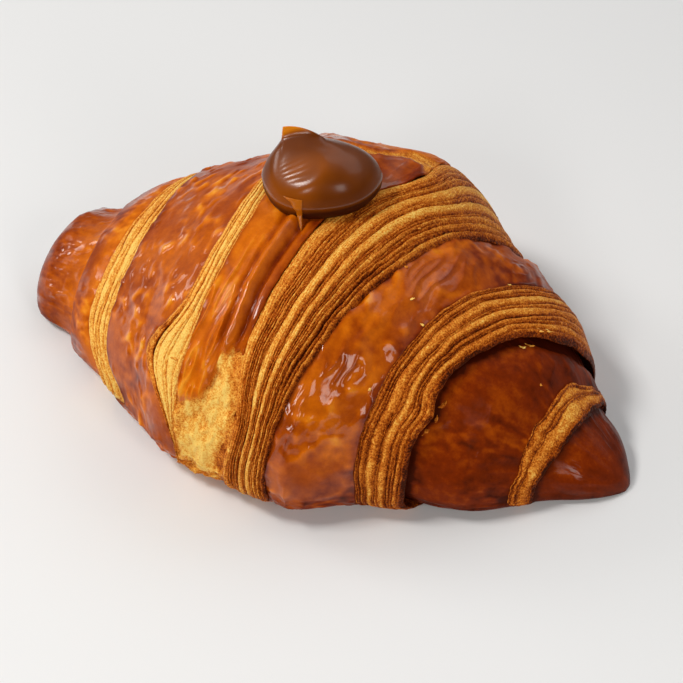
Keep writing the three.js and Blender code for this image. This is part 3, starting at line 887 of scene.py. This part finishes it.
def crust_grain_group():
    """Fine mottling for the colour level and the height of the crumb's pores, in object space; the
    pores are coloured darker where they sink, a painted shade.
    """
    group = bpy.data.node_groups.new("crust grain", "ShaderNodeTree")
    sockets = {"Leafy": "INPUT", "Bake": "INPUT", "Level With Shading": "OUTPUT", "Height": "OUTPUT"}
    for socket, way in sockets.items():
        group.interface.new_socket(socket, in_out=way, socket_type="NodeSocketFloat")
    nodes, links = group.nodes, group.links
    inside = nodes.new("NodeGroupInput")
    outside = nodes.new("NodeGroupOutput")
    place = nodes.new("ShaderNodeTexCoord")

    def textured(kind, scale, **inputs):
        """A texture on object coordinates."""
        node = nodes.new(kind)
        links.new(place.outputs["Object"], node.inputs["Vector"])
        node.inputs["Scale"].default_value = scale
        for key, value in inputs.items():
            node.inputs[key].default_value = value
        return node

    def maths(operation, first, second, third=None):
        """A sum, product or the like of numbers and outputs."""
        node = nodes.new("ShaderNodeMath")
        node.operation = operation
        for socket, value in zip(node.inputs, (first, second, third)):
            if value is None:
                continue
            if isinstance(value, (int, float)):
                socket.default_value = value
            else:
                links.new(value, socket)
        return node.outputs[0]

    speckle = textured("ShaderNodeTexNoise", 1500, Detail=4, Roughness=0.65).outputs["Fac"]
    mottle = textured("ShaderNodeTexNoise", 420, Detail=5, Roughness=0.6).outputs["Fac"]
    pores = textured("ShaderNodeTexVoronoi", 2500).outputs["Distance"]
    leaf_tone = maths("MULTIPLY_ADD", speckle, 0.7, -0.35)
    # Painted shade: darker in the pores.
    pore_tone = maths("MULTIPLY_ADD", pores, -0.5, 0.22)
    leaf_tone = maths("ADD", leaf_tone, pore_tone)
    skin_tone = maths("MULTIPLY_ADD", mottle, 0.3, -0.22)
    skin_tone = maths("MULTIPLY_ADD", speckle, 0.14, skin_tone)
    skin_part = maths("MULTIPLY", skin_tone, maths("SUBTRACT", 1, inside.outputs["Leafy"]))
    tone = maths("MULTIPLY_ADD", leaf_tone, inside.outputs["Leafy"], skin_part)
    links.new(maths("ADD", tone, inside.outputs["Bake"]), outside.inputs["Level With Shading"])
    ripple = textured("ShaderNodeTexNoise", 900, Detail=2, Roughness=0.5).outputs["Fac"]
    skin_height = maths("MULTIPLY", ripple, maths("MULTIPLY_ADD", inside.outputs["Leafy"], -0.07, 0.07))
    leaf_height = maths("MULTIPLY", maths("MULTIPLY_ADD", pores, 0.35, speckle), inside.outputs["Leafy"])
    links.new(maths("ADD", skin_height, leaf_height), outside.inputs["Height"])
    return group


def crust_material(name, grain):
    """Baked dough: colour from two ramps by a level that holds the browning and painted light, painted
    shade in crevices and painted highlights on crests, glossy where it is skin, rough where it is
    leaves."""
    material, tree = new_material(name)
    nodes, links = tree.nodes, tree.links
    leafy, bake_and_shading, gloss = (add_attribute(tree, key) for key in LOOKS)
    group = nodes.new("ShaderNodeGroup")
    group.node_tree = grain
    links.new(leafy, group.inputs["Leafy"])
    links.new(bake_and_shading, group.inputs["Bake"])
    colour = nodes.new("ShaderNodeMix")
    colour.data_type = "RGBA"
    links.new(leafy, colour.inputs["Factor"])
    for side, stops in (("A", SKIN_STOPS), ("B", LEAF_STOPS)):
        ramp = add_ramp(tree, stops)
        links.new(group.outputs["Level With Shading"], ramp.inputs["Fac"])
        links.new(ramp.outputs["Color"], colour.inputs[side])
    bump = nodes.new("ShaderNodeBump")
    bump.inputs["Strength"].default_value = 0.55
    bump.inputs["Distance"].default_value = 0.0003
    links.new(group.outputs["Height"], bump.inputs["Height"])
    values = {"IOR": 1.45, "Specular IOR Level": 0.12, "Coat Roughness": 0.09}
    values["Specular Tint"] = (1.0, 0.5, 0.2, 1)
    add_surface(tree, values, {
        "Base Color": colour.outputs["Result"],
        "Roughness": add_range(tree, gloss, 0.52, 0.3),
        "Coat Weight": add_range(tree, gloss, 0, 0.85),
        "Normal": bump.outputs["Normal"],
    })
    return material


def caramel_material():
    """Wet caramel: brown where it is thick and darkest in its painted shade, amber where it is
    thinnest, with slow cloudiness.
    """
    material, tree = new_material("wet caramel")
    nodes, links = tree.nodes, tree.links
    ramp = add_ramp(tree, CARAMEL_STOPS)
    place = nodes.new("ShaderNodeTexCoord")
    cloud = nodes.new("ShaderNodeTexNoise")
    cloud.inputs["Scale"].default_value = 130
    links.new(place.outputs["Object"], cloud.inputs["Vector"])
    level = nodes.new("ShaderNodeMath")
    level.operation = "MULTIPLY_ADD"
    level.inputs[1].default_value = 0.2
    links.new(cloud.outputs["Fac"], level.inputs[0])
    links.new(add_attribute(tree, "thin_and_shade"), level.inputs[2])
    links.new(level.outputs[0], ramp.inputs["Fac"])
    values = {"Roughness": 0.35, "Specular IOR Level": 0.06, "Coat Roughness": 0.2}
    sources = {"Base Color": ramp.outputs["Color"], "Coat Weight": add_attribute(tree, "wet")}
    add_surface(tree, values, sources)
    return material


def make_floor():
    """A wide plain floor at the level of the base."""
    material, tree = new_material("pale floor")
    pale = (0.805, 0.808, 0.809, 1)
    add_surface(tree, {"Base Color": pale, "Roughness": 0.9, "Specular IOR Level": 0.06}, {})
    half = 6.0
    mesh = bpy.data.meshes.new("floor")
    corners = [(-half, -half, 0), (half, -half, 0), (half, half, 0), (-half, half, 0)]
    mesh.from_pydata(corners, [], [(0, 1, 2, 3)])
    mesh.materials.append(material)
    floor = bpy.data.objects.new("floor", mesh)
    bpy.context.scene.collection.objects.link(floor)


# Each softbox: azimuth and elevation in degrees, distance, width and height, power and colour.
WARM_WHITE = (1.0, 0.98, 0.95)
COOL_WHITE = (0.95, 0.97, 1.0)
SOFTBOXES = {
    "left softbox": (-84, 30, 0.9, (0.3, 0.25), 1.6, WARM_WHITE),
    "front left softbox": (-50, 56, 0.9, (0.22, 0.18), 3.9, WARM_WHITE),
    "front softbox": (4, 34, 0.9, (0.2, 0.18), 1.7, WARM_WHITE),
    "right softbox": (60, 30, 0.9, (0.22, 0.34), 1.8, WARM_WHITE),
    "back softbox": (165, 50, 1.0, (1.0, 0.5), 1.6, COOL_WHITE),
}


def direction_from(azimuth, elevation):
    """The direction from the loaf to a place at an azimuth (0 is the front, positive to the right)
    and an elevation, both in degrees."""
    a, e = math.radians(azimuth), math.radians(elevation)
    return Vector((math.sin(a) * math.cos(e), -math.cos(a) * math.cos(e), math.sin(e)))


def add_softbox(name, azimuth, elevation, distance, size, power, colour):
    """An area light that looks at the loaf."""
    back = direction_from(azimuth, elevation)
    light = bpy.data.lights.new(name, "AREA")
    light.shape = "RECTANGLE"
    light.size, light.size_y = size
    light.energy = power
    light.color = colour
    holder = bpy.data.objects.new(name, light)
    holder.location = Vector((0, 0, HEART_HEIGHT)) + back * distance
    holder.rotation_mode = "QUATERNION"
    holder.rotation_quaternion = (-back).to_track_quat("-Z", "Y")
    bpy.context.scene.collection.objects.link(holder)


# The camera looks down at the front right of the loaf.
CAMERA_AZIMUTH = 30
CAMERA_ELEVATION = 41
CAMERA_DISTANCE = 0.52
FIELD_OF_VIEW = math.radians(17.54)
HEART_HEIGHT = 0.03
AIM_RIGHT = 0.00305  # how far the camera aims beside the loaf's heart, and above it
AIM_UP = -0.0155


def make_lights():
    """A white room that is dimmer towards the horizon and on the camera's side, and softboxes."""
    world = bpy.data.worlds.new("white room")
    bpy.context.scene.world = world
    world.use_nodes = True
    nodes, links = world.node_tree.nodes, world.node_tree.links
    background = nodes["Background"]
    background.inputs["Strength"].default_value = 1.0
    direction = nodes.new("ShaderNodeTexCoord")
    height = nodes.new("ShaderNodeSeparateXYZ")
    links.new(direction.outputs["Generated"], height.inputs["Vector"])
    ramp = nodes.new("ShaderNodeValToRGB")
    for element, place, level in zip(ramp.color_ramp.elements, (0.05, 0.75), (0.16, 0.46)):
        element.position = place
        element.color = (level, level * 0.995, level * 0.99, 1)
    links.new(height.outputs["Z"], ramp.inputs["Fac"])
    links.new(ramp.outputs["Color"], background.inputs["Color"])
    facing = nodes.new("ShaderNodeVectorMath")
    facing.operation = "DOT_PRODUCT"
    facing.inputs[1].default_value = direction_from(CAMERA_AZIMUTH, CAMERA_ELEVATION)
    links.new(direction.outputs["Generated"], facing.inputs[0])
    shade = nodes.new("ShaderNodeMapRange")
    shade.interpolation_type = "SMOOTHSTEP"
    for socket, value in (("From Min", 0.3), ("From Max", 0.85), ("To Min", 1.0), ("To Max", 0.1)):
        shade.inputs[socket].default_value = value
    links.new(facing.outputs["Value"], shade.inputs["Value"])
    links.new(shade.outputs["Result"], background.inputs["Strength"])
    for name, values in SOFTBOXES.items():
        add_softbox(name, *values)


def make_camera():
    """The camera, fitted to the photo's outline: it looks from CAMERA_DISTANCE at a point beside
    the loaf's heart."""
    back = direction_from(CAMERA_AZIMUTH, CAMERA_ELEVATION)
    turn = math.radians(CAMERA_AZIMUTH)
    right = Vector((math.cos(turn), math.sin(turn), 0))
    up = back.cross(right)
    centre = Vector((*(FRAME_SHIFT[:2] * MM), HEART_HEIGHT))
    aim = centre + right * AIM_RIGHT + up * AIM_UP
    place = centre + back * CAMERA_DISTANCE
    camera = bpy.data.objects.new("camera", bpy.data.cameras.new("camera"))
    camera.data.sensor_fit = "HORIZONTAL"
    camera.data.angle = FIELD_OF_VIEW
    camera.data.clip_start = 0.01
    camera.location = place
    camera.rotation_mode = "QUATERNION"
    camera.rotation_quaternion = (aim - place).to_track_quat("-Z", "Y")
    bpy.context.scene.collection.objects.link(camera)
    bpy.context.scene.camera = camera


make_camera()
make_lights()
make_floor()
bpy.context.scene.view_settings.view_transform = "Standard"

grain = crust_grain_group()
crust = crust_material("baked dough", grain)
turn_pieces = [make_turn(turn_name, crust) for turn_name in TURNS]
bpy.context.view_layer.update()
for crust_piece in turn_pieces + [make_flakes(turn_pieces, crust)]:
    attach(crust_piece, "root")
    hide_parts("croissant")

caramel = caramel_material()
for caramel_piece in (make_caramel(caramel), make_drip(caramel)):
    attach(caramel_piece, "root")
    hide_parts("caramel_dollop")
